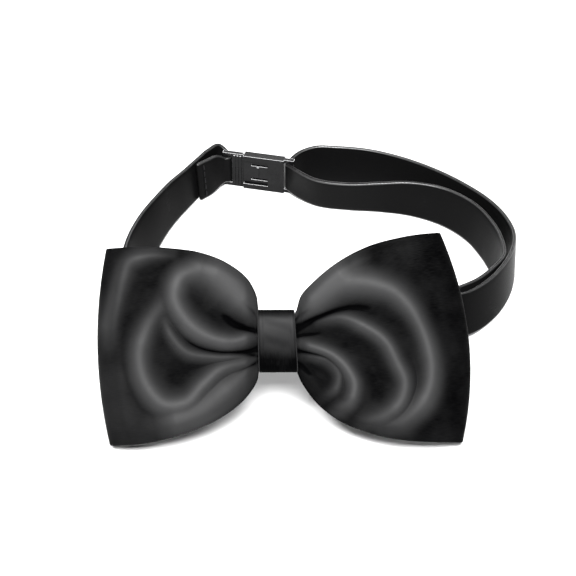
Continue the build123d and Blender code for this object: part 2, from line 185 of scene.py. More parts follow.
def flat_tube(name, grid, thickness, groove=0.0, tone=0.3, edge_painted_highlight=None):
    """A closed, flat tube of cloth whose middle follows grid[along, across], with soft folded edges.
    groove is how deep the line between its two layers is, along each edge. tone is the painted tone, from 0
    to 1: the cloth's colour is painted lighter where a highlight is painted and darker where shade is
    painted. The last argument lays a painted highlight along its folded edges, dark along the line between
    the two layers."""
    half = thickness / 2
    first_rows, first_thin = rounded_end(grid, half, True)
    last_rows, last_thin = rounded_end(grid, half, False)
    middle = np.concatenate([first_rows, grid, last_rows])
    thin = np.concatenate([first_thin, np.ones(len(grid)), last_thin])[:, None, None] * half
    along = np.gradient(middle, axis=0)
    across = np.gradient(middle, axis=1)
    normal = unit(np.cross(along, across))
    edge = unit(across - along * (across * along).sum(-1, keepdims=True)
                / np.maximum((along**2).sum(-1, keepdims=True), 1e-9))
    angles = np.linspace(0, pi, RIM_STEPS + 2)[1:-1]
    reach = np.sin(angles) - groove * np.exp(-(((angles - pi / 2) / 0.3) ** 2))

    def rim(row, side, sign):
        return [
            middle[:, row] + (normal[:, row] * cos(a) * sign + edge[:, row] * side * r) * thin[:, 0]
            for a, r in zip(angles, reach)
        ]

    front = [middle[:, j] + normal[:, j] * thin[:, 0] for j in range(middle.shape[1])]
    back = [middle[:, j] - normal[:, j] * thin[:, 0] for j in range(middle.shape[1] - 1, -1, -1)]
    ring = front + rim(-1, 1, 1) + back + rim(0, -1, -1)
    points = np.stack(ring, axis=1)
    rows, size = points.shape[:2]
    index = np.arange(rows * size).reshape(rows, size)
    faces = []
    for i in range(rows - 1):
        here, there = index[i], index[i + 1]
        faces += np.stack([here, np.roll(here, -1), np.roll(there, -1), there], axis=1).tolist()
    count = middle.shape[1]
    for row in (index[0], index[-1]):
        top, bottom = row[:count], row[count + RIM_STEPS:2 * count + RIM_STEPS][::-1]
        ends = np.stack([top[:-1], top[1:], bottom[1:], bottom[:-1]], axis=1)
        faces += ends.tolist()
        faces.append([int(i) for i in row[count - 1:count + RIM_STEPS + 1]])
        faces.append([int(i) for i in row[2 * count + RIM_STEPS - 1:]] + [int(row[0])])
    obj = new_object(name, points.reshape(-1, 3), faces)

    lengths = spaced_out(middle[:, count // 2])
    girth = np.concatenate([[0], np.cumsum(np.linalg.norm(np.diff(points[rows // 3], axis=0), axis=1))])
    weave = np.zeros((rows, size, 3))
    weave[..., 0] = lengths[:, None]
    weave[..., 1] = girth[None, :]
    set_attribute(obj, "weave", "FLOAT_VECTOR", weave.reshape(-1, 3))
    tone = np.broadcast_to(tone, grid.shape[:2])
    tone = np.concatenate([tone[:1]] * 3 + [tone] + [tone[-1:]] * 3)
    # Painted highlight along the folded edges: lightest on the two lips, dark along the line between the
    # layers.
    painted_sheen = 1 - np.exp(-(((angles - pi / 2) / 0.35) ** 2))
    if edge_painted_highlight is None:
        rims = [tone[:, j][:, None] * np.ones(RIM_STEPS) for j in (-1, 0)]
    else:
        rims = [edge_painted_highlight * painted_sheen * thin[:, 0] / half] * 2
    shade = np.concatenate([tone, rims[0], tone[:, ::-1], rims[1]], axis=1)
    set_attribute(obj, "tone", "FLOAT", shade)
    return obj


# ---- materials ----------------------------------------------------------------------------------
def material(name):
    """A new material, its nodes and links, and its main shader."""
    made = bpy.data.materials.new(name)
    made.use_nodes = True
    nodes, links = made.node_tree.nodes, made.node_tree.links
    return made, nodes, links, nodes["Principled BSDF"]


def ramp(nodes, start, end, low, high):
    """A colour ramp between two colours."""
    made = nodes.new("ShaderNodeValToRGB")
    made.color_ramp.elements[0].position = start
    made.color_ramp.elements[1].position = end
    made.color_ramp.elements[0].color = (*low, 1)
    made.color_ramp.elements[1].color = (*high, 1)
    return made


def mapped(nodes, links, source, scale):
    made = nodes.new("ShaderNodeMapping")
    made.inputs["Scale"].default_value = scale
    links.new(source, made.inputs["Vector"])
    return made.outputs["Vector"]


def noise(nodes, links, source, scale, detail=3.0, rough=0.5):
    made = nodes.new("ShaderNodeTexNoise")
    made.inputs["Scale"].default_value = scale
    made.inputs["Detail"].default_value = detail
    made.inputs["Roughness"].default_value = rough
    links.new(source, made.inputs["Vector"])
    return made.outputs["Fac"]


def satin(name, dark, light, shine, roughness):
    """Black satin: long floats of thread that catch the light, with slight streaks along the weft. Its
    colour and specular level also follow a painted tone on the mesh: lighter where a highlight is painted,
    darker where shade is painted.
    """
    made, nodes, links, shader = material(name)
    weave = nodes.new("ShaderNodeAttribute")
    weave.attribute_name = "weave"
    # The tone attribute is painted light: it lightens the colour where a highlight is painted and darkens
    # it where shade is painted.
    tone = nodes.new("ShaderNodeAttribute")
    tone.attribute_name = "tone"
    along_weave = mapped(nodes, links, weave.outputs["Vector"], (0.4, 4.0, 1))
    streaks = noise(nodes, links, along_weave, 1.0, 4, 0.6)
    cloudy = noise(nodes, links, mapped(nodes, links, weave.outputs["Vector"], (0.09, 0.09, 1)), 1.0, 2)
    mixed = nodes.new("ShaderNodeMath")
    mixed.operation = "ADD"
    links.new(streaks, mixed.inputs[0])
    links.new(cloudy, mixed.inputs[1])
    varied = nodes.new("ShaderNodeMath")
    varied.operation = "MULTIPLY_ADD"
    links.new(mixed.outputs[0], varied.inputs[0])
    varied.inputs[1].default_value = 0.2
    varied.inputs[2].default_value = -0.2
    toned = nodes.new("ShaderNodeMath")
    toned.operation = "ADD"
    links.new(varied.outputs[0], toned.inputs[0])
    links.new(tone.outputs["Fac"], toned.inputs[1])
    colours = ramp(nodes, 0.1, 1.0, dark, light)
    links.new(toned.outputs[0], colours.inputs["Fac"])
    links.new(colours.outputs["Color"], shader.inputs["Base Color"])
    lustre = nodes.new("ShaderNodeMapRange")
    lustre.inputs["From Min"].default_value = 0.1
    lustre.inputs["From Max"].default_value = 0.9
    lustre.inputs["To Min"].default_value = shine * 0.02
    lustre.inputs["To Max"].default_value = shine
    links.new(toned.outputs[0], lustre.inputs["Value"])
    links.new(lustre.outputs["Result"], shader.inputs["Specular IOR Level"])
    rough = nodes.new("ShaderNodeMapRange")
    rough.inputs["From Min"].default_value = 0.3
    rough.inputs["From Max"].default_value = 0.7
    rough.inputs["To Min"].default_value = roughness - 0.05
    rough.inputs["To Max"].default_value = roughness + 0.06
    links.new(streaks, rough.inputs["Value"])
    links.new(rough.outputs["Result"], shader.inputs["Roughness"])
    floats = nodes.new("ShaderNodeTexWave")
    floats.bands_direction = "DIAGONAL"
    floats.inputs["Scale"].default_value = 1.0
    floats.inputs["Distortion"].default_value = 1.2
    floats.inputs["Detail"].default_value = 1.0
    links.new(mapped(nodes, links, weave.outputs["Vector"], (0.5, 2.2, 1)), floats.inputs["Vector"])
    slubs = nodes.new("ShaderNodeMath")
    slubs.operation = "ADD"
    links.new(floats.outputs["Fac"], slubs.inputs[0])
    links.new(streaks, slubs.inputs[1])
    bump = nodes.new("ShaderNodeBump")
    bump.inputs["Strength"].default_value = 0.25
    bump.inputs["Distance"].default_value = 0.00003
    links.new(slubs.outputs[0], bump.inputs["Height"])
    links.new(bump.outputs["Normal"], shader.inputs["Normal"])
    return made


def fleece(name):
    """Bonded interlining: pale, matt and fibrous."""
    made, nodes, links, shader = material(name)
    place = nodes.new("ShaderNodeTexCoord")
    fibres = noise(nodes, links, mapped(nodes, links, place.outputs["Object"], (900,) * 3), 1.0, 5, 0.7)
    colours = ramp(nodes, 0.3, 0.7, (0.5, 0.48, 0.44), (0.72, 0.7, 0.66))
    links.new(fibres, colours.inputs["Fac"])
    links.new(colours.outputs["Color"], shader.inputs["Base Color"])
    shader.inputs["Roughness"].default_value = 0.9
    bump = nodes.new("ShaderNodeBump")
    bump.inputs["Strength"].default_value = 0.4
    bump.inputs["Distance"].default_value = 0.0001
    links.new(fibres, bump.inputs["Height"])
    links.new(bump.outputs["Normal"], shader.inputs["Normal"])
    return made


def thread(name):
    """Black polyester sewing thread."""
    made, nodes, links, shader = material(name)
    place = nodes.new("ShaderNodeTexCoord")
    fibres = noise(nodes, links, mapped(nodes, links, place.outputs["Object"], (4000,) * 3), 1.0, 3)
    colours = ramp(nodes, 0.3, 0.7, (0.004, 0.004, 0.0045), (0.014, 0.014, 0.015))
    links.new(fibres, colours.inputs["Fac"])
    links.new(colours.outputs["Color"], shader.inputs["Base Color"])
    shader.inputs["Roughness"].default_value = 0.6
    shader.inputs["Specular IOR Level"].default_value = 0.12
    return made


def plastic(name):
    """Glossy black moulding: faint moulded grain, softer shine where it is handled, and a painted
    highlight: its upward-facing edges are painted near white.
    """
    made, nodes, links, shader = material(name)
    place = nodes.new("ShaderNodeTexCoord")
    grain = noise(nodes, links, mapped(nodes, links, place.outputs["Object"], (1400,) * 3), 1.0, 4, 0.6)
    rubbed = noise(nodes, links, mapped(nodes, links, place.outputs["Object"], (160,) * 3), 1.0, 5, 0.65)
    colours = ramp(nodes, 0.35, 0.7, (0.003, 0.003, 0.0032), (0.008, 0.008, 0.0085))
    links.new(rubbed, colours.inputs["Fac"])
    # Painted highlight: near the moulding's upward-facing edges the colour is blended to near white.
    rounded = nodes.new("ShaderNodeBevel")
    rounded.samples = 8
    rounded.inputs["Radius"].default_value = 0.00035
    facing = nodes.new("ShaderNodeNewGeometry")
    level = nodes.new("ShaderNodeVectorMath")
    level.operation = "DOT_PRODUCT"
    links.new(rounded.outputs["Normal"], level.inputs[0])
    links.new(facing.outputs["True Normal"], level.inputs[1])
    edge = nodes.new("ShaderNodeMapRange")
    edge.inputs["From Min"].default_value = 0.99
    edge.inputs["From Max"].default_value = 0.86
    links.new(level.outputs["Value"], edge.inputs["Value"])
    parts = nodes.new("ShaderNodeSeparateXYZ")
    links.new(rounded.outputs["Normal"], parts.inputs["Vector"])
    upper = nodes.new("ShaderNodeMapRange")
    upper.inputs["From Min"].default_value = 0.3
    upper.inputs["From Max"].default_value = 0.6
    links.new(parts.outputs["Z"], upper.inputs["Value"])
    painted_edge_highlight = nodes.new("ShaderNodeMath")
    painted_edge_highlight.operation = "MULTIPLY"
    links.new(edge.outputs["Result"], painted_edge_highlight.inputs[0])
    links.new(upper.outputs["Result"], painted_edge_highlight.inputs[1])
    blend = nodes.new("ShaderNodeMix")
    blend.data_type = "RGBA"
    links.new(painted_edge_highlight.outputs[0], blend.inputs["Factor"])
    links.new(colours.outputs["Color"], blend.inputs["A"])
    blend.inputs["B"].default_value = (0.8, 0.8, 0.81, 1)
    links.new(blend.outputs["Result"], shader.inputs["Base Color"])
    rough = nodes.new("ShaderNodeMapRange")
    rough.inputs["From Min"].default_value = 0.3
    rough.inputs["From Max"].default_value = 0.75
    rough.inputs["To Min"].default_value = 0.16
    rough.inputs["To Max"].default_value = 0.26
    links.new(rubbed, rough.inputs["Value"])
    links.new(rough.outputs["Result"], shader.inputs["Roughness"])
    shader.inputs["Specular IOR Level"].default_value = 0.13
    bump = nodes.new("ShaderNodeBump")
    bump.inputs["Strength"].default_value = 0.12
    bump.inputs["Distance"].default_value = 0.00002
    links.new(grain, bump.inputs["Height"])
    links.new(bump.outputs["Normal"], shader.inputs["Normal"])
    return made


bow_satin = satin("bow_satin", (0.0006, 0.0006, 0.0007), (0.02, 0.02, 0.0205), 0.26, 0.58)
band_satin = satin("band_satin", (0.0035, 0.0035, 0.0036), (0.018, 0.018, 0.0185), 1.0, 0.32)
stiffener = fleece("stiffener")
black_thread = thread("thread")
clip_plastic = plastic("clip_plastic")


def dress(obj, finish):
    """Gives a piece its material."""
    obj.data.materials.clear()
    obj.data.materials.append(finish)
    return obj


# ---- the bow's outline and loop -----------------------------------------------------------------
# Its edges from the front, from the pinched middle outwards, past the folds at the outer ends.
LEFT_TOP = [
    (0, 8.2), (5.9, 8.4), (7.2, 14.6), (9.6, 19.3), (16, 24.6), (25, 28.2), (36, 29.7), (64, 29.4),
]
LEFT_BOTTOM = [
    (0, -8.2), (5.9, -8.4), (7.2, -13), (10, -17.3), (19, -24.5), (28, -28.5), (41, -32), (64, -33.6),
]
RIGHT_TOP = [
    (0, 8.2), (5.9, 8.4), (8.2, 14.2), (13, 19.4), (21.5, 25.9), (30.5, 30.3), (40, 32.8), (66, 35.4),
]
RIGHT_BOTTOM = [
    (0, -8.2), (5.9, -8.4), (8.2, -13), (13, -19.6), (21.5, -26.1), (30.5, -29.5), (66, -33.2),
]

COLUMNS = 150  # along each quarter of the loop
ROWS = 140


def edge_height(points, x):
    """Height of an outline's edge at each reach from the knot."""
    line = drawn(points, 200)
    return np.interp(x, line[:, 0], line[:, 1])


def distance_to(points, x, v):
    """How far each place is from a line, and how far along the line, from 0 to 1, its nearest point is."""
    line = drawn(points, 180)
    gaps = np.hypot(x[..., None] - line[:, 0], v[..., None] - line[:, 1])
    nearest = gaps.argmin(-1)
    return gaps.min(-1), nearest / (len(line) - 1)


# The folds in each wing's front: crest line (out from the knot, up), crest height, half-widths at its
# start, middle and end, and how much of the height is left at its start and end.
LEFT_FOLDS = [
    ([(7, 9), (11, 14), (15, 18.5), (20, 22), (24, 23)], 2.8, (4.5, 7, 6), 0.7, 0.8),
    ([(5, 2.2), (16, -0.2), (23, 1.8), (29.5, 7), (33, 14.5), (31, 20.5), (25.5, 23)],
     2.7, (2.2, 3.9, 4.4), 0.7, 0.7),
    ([(6, -4.4), (13, -5.0), (20, -5.2), (29.5, -3.4), (34, 1.5), (37.5, 9.5)],
     1.7, (1.4, 2.4, 2.6), 0.6, 0.4),
    ([(7, -6.5), (18.5, -9.6), (23.5, -14), (29.5, -20), (36.5, -20.5), (42, -15), (44.7, -4.2),
      (42.4, 3.6), (37, 12)], 2.35, (2.5, 4.2, 4.0), 0.65, 0.5),
    ([(34, 28.5), (43, 27.6), (48.2, 25), (50.4, 20), (52.4, 13.2), (54.4, 6), (54.8, -4)],
     1.9, (3.2, 3.4, 3), 0.5, 0.4),
    ([(54, -4), (52.5, -16), (50, -24), (44, -31)], 0.95, (6, 7, 7), 0.6, 0.8),
    ([(9, -10), (16, -16), (26, -23.5), (40, -27)], 2.2, (4, 6.5, 6.5), 0.7, 0.4),
]
RIGHT_FOLDS = [
    ([(7, 8.5), (12, 14), (17, 19.5), (24, 24.5)], 2.7, (4, 6.5, 6), 0.7, 0.5),
    ([(12, 13.5), (21, 18.2), (31, 18), (37.3, 15.8), (42.2, 11.6), (46, 5.4), (48.6, -1.2), (50, -7.8),
      (49.4, -15.2), (46, -21.6), (40.6, -26.2), (34, -28)], 2.45, (6.2, 3.3, 4.2), 0.95, 0.5),
    ([(13, 6.4), (21, 7.3), (28, 4.6), (34.9, -0.4), (38.5, -7), (41.2, -14), (40, -19.3), (35.5, -24),
      (28, -27)], 2.3, (2.3, 3.0, 3.6), 0.5, 0.5),
    ([(5.5, -0.6), (12, -2.2), (17.5, -4.6), (22.2, -8.8), (24.8, -14.3), (23.6, -19.4), (19, -23)],
     2.4, (2.2, 2.9, 3), 0.8, 0.5),
    ([(7, -5), (13, -5.3), (17.1, -7), (19.8, -10.8), (19.2, -15), (14.8, -18.8)],
     1.6, (1.6, 2.2, 2.2), 0.5, 0.4),
]
BACK_FOLDS = [
    ([(5, 5), (13, 11), (24, 17), (36, 20)], 1.6, (2.2, 4, 5), 0.6, 0.2),
    ([(5, 0), (15, 1.5), (28, 2), (42, 0)], 1.5, (2.0, 3.5, 5), 0.6, 0.2),
    ([(5, -5), (13, -10), (24, -16), (36, -20)], 1.6, (2.2, 4, 5), 0.6, 0.2),
]
# Sharp creases that run out from the gathered middle: line, depth and half-width.
LEFT_CREASES = [
    ([(5.5, -2.6), (12.7, -3.6), (23.5, -2.6), (29.7, 1), (34, 6)], 0.5, 0.8),
    ([(5.5, 2.6), (9, 3.5), (13.5, 5.4), (18.2, 9.2)], 0.8, 0.9),
    ([(5.5, 6.9), (8, 9.5), (11, 13)], 0.4, 0.6),
    ([(5.5, -6.0), (9, -8.0), (14, -10.5)], 0.45, 0.6),
    ([(5.5, -5.0), (9.5, -4.6), (14, -4.6)], 0.35, 0.6),
]
RIGHT_CREASES = [
    ([(5.5, 3.8), (13, 7.6), (22, 10.4), (31, 11.0)], 0.8, 1.0),
    ([(5.5, -2.7), (11, -3.8), (16.5, -5.6), (20.6, -9.8), (21.6, -15.5)], 0.5, 0.8),
    ([(5.5, 6.2), (8, 8.6), (11.5, 11)], 0.4, 0.6),
    ([(5.5, 1.2), (9.5, 1.7), (14.5, 2.6)], 0.35, 0.6),
    ([(5.5, -6.2), (8, -8.2), (11, -11.5)], 0.4, 0.6),
]
BACK_CREASES = [
    ([(5.5, 2.5), (10, 4.2), (16, 7)], 0.5, 0.7),
    ([(5.5, -2.5), (10, -4.2), (16, -7)], 0.5, 0.7),
    ([(5.5, 6.2), (8, 9), (12, 13)], 0.4, 0.6),
    ([(5.5, -6.2), (8, -9), (12, -13)], 0.4, 0.6),
]
FOLD_UNION = 5  # the higher, the sharper the valleys between folds
CREST = 2.7  # height of a full fold
# Painted light on the bow: its colour is painted lighter along the fold crests, as a highlight, and darker
# in the hollows, as shade.
VALLEY_SHEEN = 0.14  # how light the colour is painted in the hollows, where a full crest is 1: painted shade
SHEEN_CURVE = 1.5  # the higher, the closer the painted highlight keeps to the crests
LEAST_SHEEN = 0.05
SHEEN_SPREAD = 1.05  # how far the painted highlight spreads beside the fold's own width


def fold_height(folds, x, v, spread=1.0):
    """Height of the folds over the wing: rounded crests that meet in sharp valleys."""
    total = np.zeros_like(x)
    for line, height, widths, start, end in folds:
        away, place = distance_to(line, x, v)
        width = np.interp(place, [0, 0.5, 1], widths) * spread
        share = np.interp(place, [0, 0.25, 0.8, 1], [start, 1, 1, end])
        total += (height * share * np.exp(-((away / width) ** 2))) ** FOLD_UNION
    return total ** (1 / FOLD_UNION)


def crease_depth(creases, x, v):
    """How deep the sharp creases are over the wing."""
    total = np.zeros_like(x)
    for line, deep, width in creases:
        away, place = distance_to(line, x, v)
        total += deep * np.interp(place, [0, 0.3, 1], [1, 1, 0]) * np.exp(-((away / width) ** 2))
    return total


def wing(tips, top, bottom, swell, folds, creases, angles, sign):
    """One panel of one wing, from the angle 0 at the knot to a right angle at the fold: how far its cloth's
    middle is out, up and forward, and its painted sheen, a highlight painted on the fold crests and shade
    painted in the hollows."""
    t = np.linspace(-1, 1, ROWS)
    low_tip, mid_tip, high_tip = tips
    tip = mid_tip + (high_tip - low_tip) / 2 * t + ((high_tip + low_tip) / 2 - mid_tip) * t**2
    a = angles[:, None]
    out = tip[None, :] * np.sin(a)
    high = edge_height(top, high_tip * np.sin(angles))[:, None]
    low = edge_height(bottom, low_tip * np.sin(angles))[:, None]
    up = low + (high - low) * (t[None, :] + 1) / 2
    depth = np.cos(a) * (PINCH + 2 * swell * np.sin(a)) * np.ones_like(up)
    folded = fold_height(folds, out, up)
    near_knot = smooth_step(out, 5.6, 10.5)
    near_fold = smooth_step(tip[None, :] - out, 0.2, 7)
    sharp = crease_depth(creases, out, up)
    depth = depth + (folded - sharp) * near_knot * near_fold
    from_edge = np.minimum(high - up, up - low)
    roll = np.exp(-((from_edge / 1.8) ** 2)) * near_knot * smooth_step(tip[None, :] - out, 0, 4)
    depth = depth - 0.9 * roll
    # Painted light: lighter on the crests as a highlight, darker in the hollows and creases as shade.
    crest = np.clip(fold_height(folds, out, up, SHEEN_SPREAD) / CREST, 0, 1) ** SHEEN_CURVE
    painted_sheen = np.clip(VALLEY_SHEEN + (1 - VALLEY_SHEEN) * crest - sharp, LEAST_SHEEN, 1)
    return out, up, depth * sign, painted_sheen


def within_edges(grid, inset, count):
    """The same cloth's middle, less a margin along both edges."""
    lines = []
    for line in grid:
        at = spaced_out(line)
        samples = np.linspace(inset, at[-1] - inset, count)
        lines.append(np.stack([np.interp(samples, at, line[:, k]) for k in range(3)], axis=1))
    return np.array(lines)


def loop_grid():
    """The middle of the whole loop of cloth, from the seam at the back, round both wings and back, and its
    painted sheen at each place, from 0 to 1: a highlight painted on the fold crests, shade painted in the
    hollows."""
    share = np.linspace(0, 1, COLUMNS)
    angles = pi / 2 * share**1.25
    back_angles = angles[2:]
    right = (RIGHT_TIPS, RIGHT_TOP, RIGHT_BOTTOM)
    left = (LEFT_TIPS, LEFT_TOP, LEFT_BOTTOM)
    panels, painted_sheens = [], []
    for tips, top, bottom, swell, folds, creases, used, side, face in (
        (*right, BACK_SWELL, BACK_FOLDS, BACK_CREASES, back_angles, 1, -1),
        (*right, FRONT_SWELL, RIGHT_FOLDS, RIGHT_CREASES, angles[-2::-1], 1, 1),
        (*left, FRONT_SWELL, LEFT_FOLDS, LEFT_CREASES, angles[1:], -1, 1),
        (*left, BACK_SWELL, BACK_FOLDS, BACK_CREASES, back_angles[-2::-1], -1, -1),
    ):
        out, up, depth, painted_sheen = wing(tips, top, bottom, swell, folds, creases, used, face)
        panels.append(np.stack([out * side, up, depth], axis=-1))
        painted_sheens.append(painted_sheen)
    local = np.concatenate(panels)
    placed = KNOT + local[..., :1] * X + local[..., 1:2] * BOW_UP + local[..., 2:] * BOW_FRONT
    return placed, np.concatenate(painted_sheens)


def on_the_surface(obj, height=0.05):
    """Cloth that meets the surface the tie rests on lies flat on it."""
    for vertex in obj.data.vertices:
        vertex.co.z = max(vertex.co.z, height * MM)


# The loop's colour carries a painted highlight on the fold crests and painted shade in the hollows.
bow_grid, bow_painted_sheen = loop_grid()
bow = flat_tube("bow_satin_loop", bow_grid, CLOTH, groove=0.25, tone=bow_painted_sheen)
on_the_surface(bow)
dress(bow, bow_satin)
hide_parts("bow_cover")
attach(bow, "root")

bow_inner = flat_tube("bow_stiffener", within_edges(bow_grid, HEM, 90), BOW_STIFFENER)
on_the_surface(bow_inner, 0.4)
dress(bow_inner, stiffener)
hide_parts("bow_interlining")
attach(bow_inner, "root")


# ---- the strip round the bow's middle -----------------------------------------------------------
WRAP_CORNER = 3.0  # outer radius of the strip's turns
# How light the strip's painted highlight is.
KNOT_PAINTED_SHEEN = 0.28


def wrap_grid(thickness_in, half_width, seam=0.5, rolled=0.0):
    """The middle of the strip, from its seam at the back, under the bow, up the front and over."""
    half_up = WRAP_HALF_HEIGHT - thickness_in
    half_deep = (WRAP_FRONT - WRAP_BACK) / 2 - thickness_in
    corner = WRAP_CORNER - thickness_in
    outline = [(-half_deep, -seam / 2)]
    for deep, up, start in ((-1, -1, 180), (1, -1, 270), (1, 1, 0), (-1, 1, 90)):
        middle = (deep * (half_deep - corner), up * (half_up - corner))
        for angle in np.radians(np.linspace(start, start + 90, 9)):
            outline.append((middle[0] + corner * cos(angle), middle[1] + corner * sin(angle)))
    outline.append((-half_deep, seam / 2))
    outline = np.array(outline)
    at = spaced_out(outline)
    samples = np.linspace(0, at[-1], 150)
    smoothed = np.stack([np.interp(samples, at, outline[:, k]) for k in (0, 1)], axis=1)
    for _ in range(3):
        smoothed[1:-1] = (smoothed[:-2] + smoothed[1:-1] * 2 + smoothed[2:]) / 4
    deep, up = smoothed[:, :1], smoothed[:, 1:]
    s = np.linspace(-1, 1, 31)[None, :]
    is_front = smooth_step(deep, 1, 4)
    width = half_width * (1 - 0.03 * up / WRAP_HALF_HEIGHT)
    across = s * width - 0.04 * up
    bulge = is_front * (0.35 * (1 - (up / WRAP_HALF_HEIGHT) ** 2) * (1 - 0.4 * s**2))
    hem = rolled * np.exp(-(((np.abs(s) - 0.9) / 0.07) ** 2))
    wrinkle = is_front * 0.12 * np.sin(up * 1.1 + s * 1.7) * smooth_step(1 - np.abs(s), 0, 0.5)
    outward_deep = deep + (bulge + hem + wrinkle)
    local = np.stack([across + 0 * up, up + 0 * s, outward_deep], axis=-1)
    return KNOT + local[..., :1] * X + local[..., 1:2] * BOW_UP + local[..., 2:] * BOW_FRONT


def knot_painted_sheen(grid):
    """Painted light on the strip: its colour is painted lighter over the upper half of its front, as a
    highlight, and darker toward the bottom, as shade.
    """
    up = (grid - KNOT) @ BOW_UP
    return KNOT_PAINTED_SHEEN * np.interp(up, [-9, -6, 3, 6.5, 9], [0.3, 0.35, 1.6, 2.2, 0.5])


# The strip's folded edges get a painted highlight as well.
knot_grid = wrap_grid(WRAP_THICKNESS / 2, WRAP_HALF_WIDTH - 0.55, rolled=0.22)
knot = flat_tube("knot_strip", knot_grid, WRAP_THICKNESS, groove=0.2, tone=knot_painted_sheen(knot_grid),
                 edge_painted_highlight=0.9)
dress(knot, bow_satin)
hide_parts("knot_wrap")
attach(knot, "root")

knot_inner = flat_tube("knot_stiffener", wrap_grid(WRAP_THICKNESS / 2, WRAP_HALF_WIDTH - 1.3),
                       KNOT_STIFFENER)
dress(knot_inner, stiffener)
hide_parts("knot_interlining")
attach(knot_inner, "root")


# ---- the neck band ------------------------------------------------------------------------------
# A station of a band is its lower edge's x, y and z, how far it leans in degrees, and its width.
def behind_knot(along, depth=BAND_BEHIND_KNOT):
    """A station where the band lies flat against the bow's back."""
    edge = KNOT + X * along - BOW_UP * (BAND_WIDTH / 2) + BOW_FRONT * depth
    return (*edge, -BOW_LEAN, BAND_WIDTH)


def standing(x, y, lean):
    """A station where the band stands on its edge on the table."""
    return (x, y, BAND / 2 * abs(sin(radians(lean))), lean, BAND_WIDTH)


def round_bar(place, angle):
    """A station on the turn round one of the clip's bars."""
    edge = CLIP_CENTRE + CLIP_ALONG * (place + BAR_TURN * cos(radians(angle)))
    edge = edge + CLIP_FRONT * (BAR_TURN * sin(radians(angle)))
    return (edge[0], edge[1], CLIP_CENTRE[2] - LOOP_WIDTH / 2, 0, LOOP_WIDTH)


def directions(points):
    """The way a line of points runs at each of them."""
    before, after = np.roll(points, 1, axis=0), np.roll(points, -1, axis=0)
    before[0], after[-1] = points[0], points[-1]
    return unit(after - before)


def band_sections(stations, left_is_out):
    """The band's middle, its upward direction and its width at each station of its lower edge."""
    stations = np.array(stations, float)
    edges, leans, widths = stations[:, :3], np.radians(stations[:, 3]), stations[:, 4]
    runs = directions(edges)
    sides = unit(np.stack([-runs[:, 1], runs[:, 0], 0 * leans], axis=1)) * (1 if left_is_out else -1)
    ups = sides * np.sin(leans)[:, None] + np.outer(np.cos(leans), (0, 0, 1))
    middles = edges + ups * widths[:, None] / 2
    runs = directions(middles)
    ups = unit(ups - runs * (ups * runs).sum(1, keepdims=True))
    return [(m, u, w) for m, u, w in zip(middles, ups, widths)]


left_stations = [
    behind_knot(-0.4),
    behind_knot(-6.8),
    behind_knot(-9),
    behind_knot(-17, -8.4),
    (-40, -64.4, 11.6, -26, BAND_WIDTH),
    (-49.3, -55.2, 7.2, -12, BAND_WIDTH),
    (-56.8, -41.8, 2.8, 3, BAND_WIDTH),
    (-61.2, -27.0, 0.7, 14, BAND_WIDTH),
    standing(-63.0, -12.0, 22),
    standing(-61.6, 3.0, 25),
    standing(-58.4, 17.5, 23),
    standing(-54.4, 31.0, 15),
    standing(-50.9, 39.4, 12),
    standing(-47.2, 47.0, 8),
    standing(-42.2, 57.0, 5),
    (-39.3, 62.1, 0.5, 3, BAND_WIDTH - 0.2),
    (-36.9, 65.4, 0.9, 1, BAND_WIDTH - 0.6),
    round_bar(HOOK_BAR, -90),
    round_bar(HOOK_BAR, -45),
    round_bar(HOOK_BAR, 0),
    round_bar(HOOK_BAR, 45),
    round_bar(HOOK_BAR, 90),
    (-35.0, 60.2, 1.3, 0, LOOP_WIDTH + 1),
    (-36.9, 58.1, 0.6, -2, BAND_WIDTH - 1.0),
    standing(-39.4, 54.9, -4),
    standing(-42.8, 51.3, -6),
]
left_sections = band_sections(left_stations, left_is_out=True)

SLIDE_START = vec(8.5, -67.2, 14.6)
SLIDE_END = vec(47.0, -40.0, 2.7)
SLIDE_LEAN = 26
slide_along = unit(SLIDE_END - SLIDE_START)
slide_length = float(np.linalg.norm(SLIDE_END - SLIDE_START))
away = unit(vec(slide_along[1], -slide_along[0], 0))
slide_up = vec(0, 0, cos(radians(SLIDE_LEAN))) - away * sin(radians(SLIDE_LEAN))
slide_up = unit(slide_up - slide_along * (slide_up @ slide_along))
slide_inward = np.cross(slide_up, slide_along)
slider_centre = SLIDE_START + slide_along * (slide_length / 2) + slide_up * (BAND_WIDTH / 2)

before_stretch = [behind_knot(0.4), behind_knot(6.8), behind_knot(9), behind_knot(17, -8.4)]
after_stretch = [
    (55.4, -33.2, 0.8, -19, BAND_WIDTH),
    standing(62.8, -24.2, -13),
    standing(68.0, -14.2, -8),
    standing(71.2, -3.3, -3),
    standing(72.1, 6.0, -1),
    standing(69.8, 17.0, 0),
    standing(65.0, 27.2, 0),
    standing(56.5, 38.2, 0),
    standing(45.1, 48.2, 2),
    standing(32.6, 55.7, 5),
    standing(20.5, 60.2, 8),
    standing(9.0, 62.2, 8),
    standing(0.5, 63.2, 4),
    (-4.8, 62.2, 0.8, 0, BAND_WIDTH - 1.6),
    round_bar(SOCKET_BAR, 202),
    round_bar(SOCKET_BAR, 171),
    round_bar(SOCKET_BAR, 140),
]
TAIL_DEPTH = 1.85  # depths inwards from the outer run's middle
SLIDER_BAR_DEPTH = TAIL_DEPTH + BAR_TURN
RETURN_DEPTH = TAIL_DEPTH + 2 * BAR_TURN


def before_slider(along):
    """A station of the doubled run, coming up to the slider's bar."""
    edge = slider_centre + slide_along * along + slide_inward * RETURN_DEPTH - slide_up * (BAND_WIDTH / 2)
    return (*edge, SLIDE_LEAN, BAND_WIDTH)


def at_slider(along, inward):
    """A section of the band beside the slider, along its stretch and inwards from it."""
    return (slider_centre + slide_along * along + slide_inward * inward, slide_up, BAND_WIDTH)


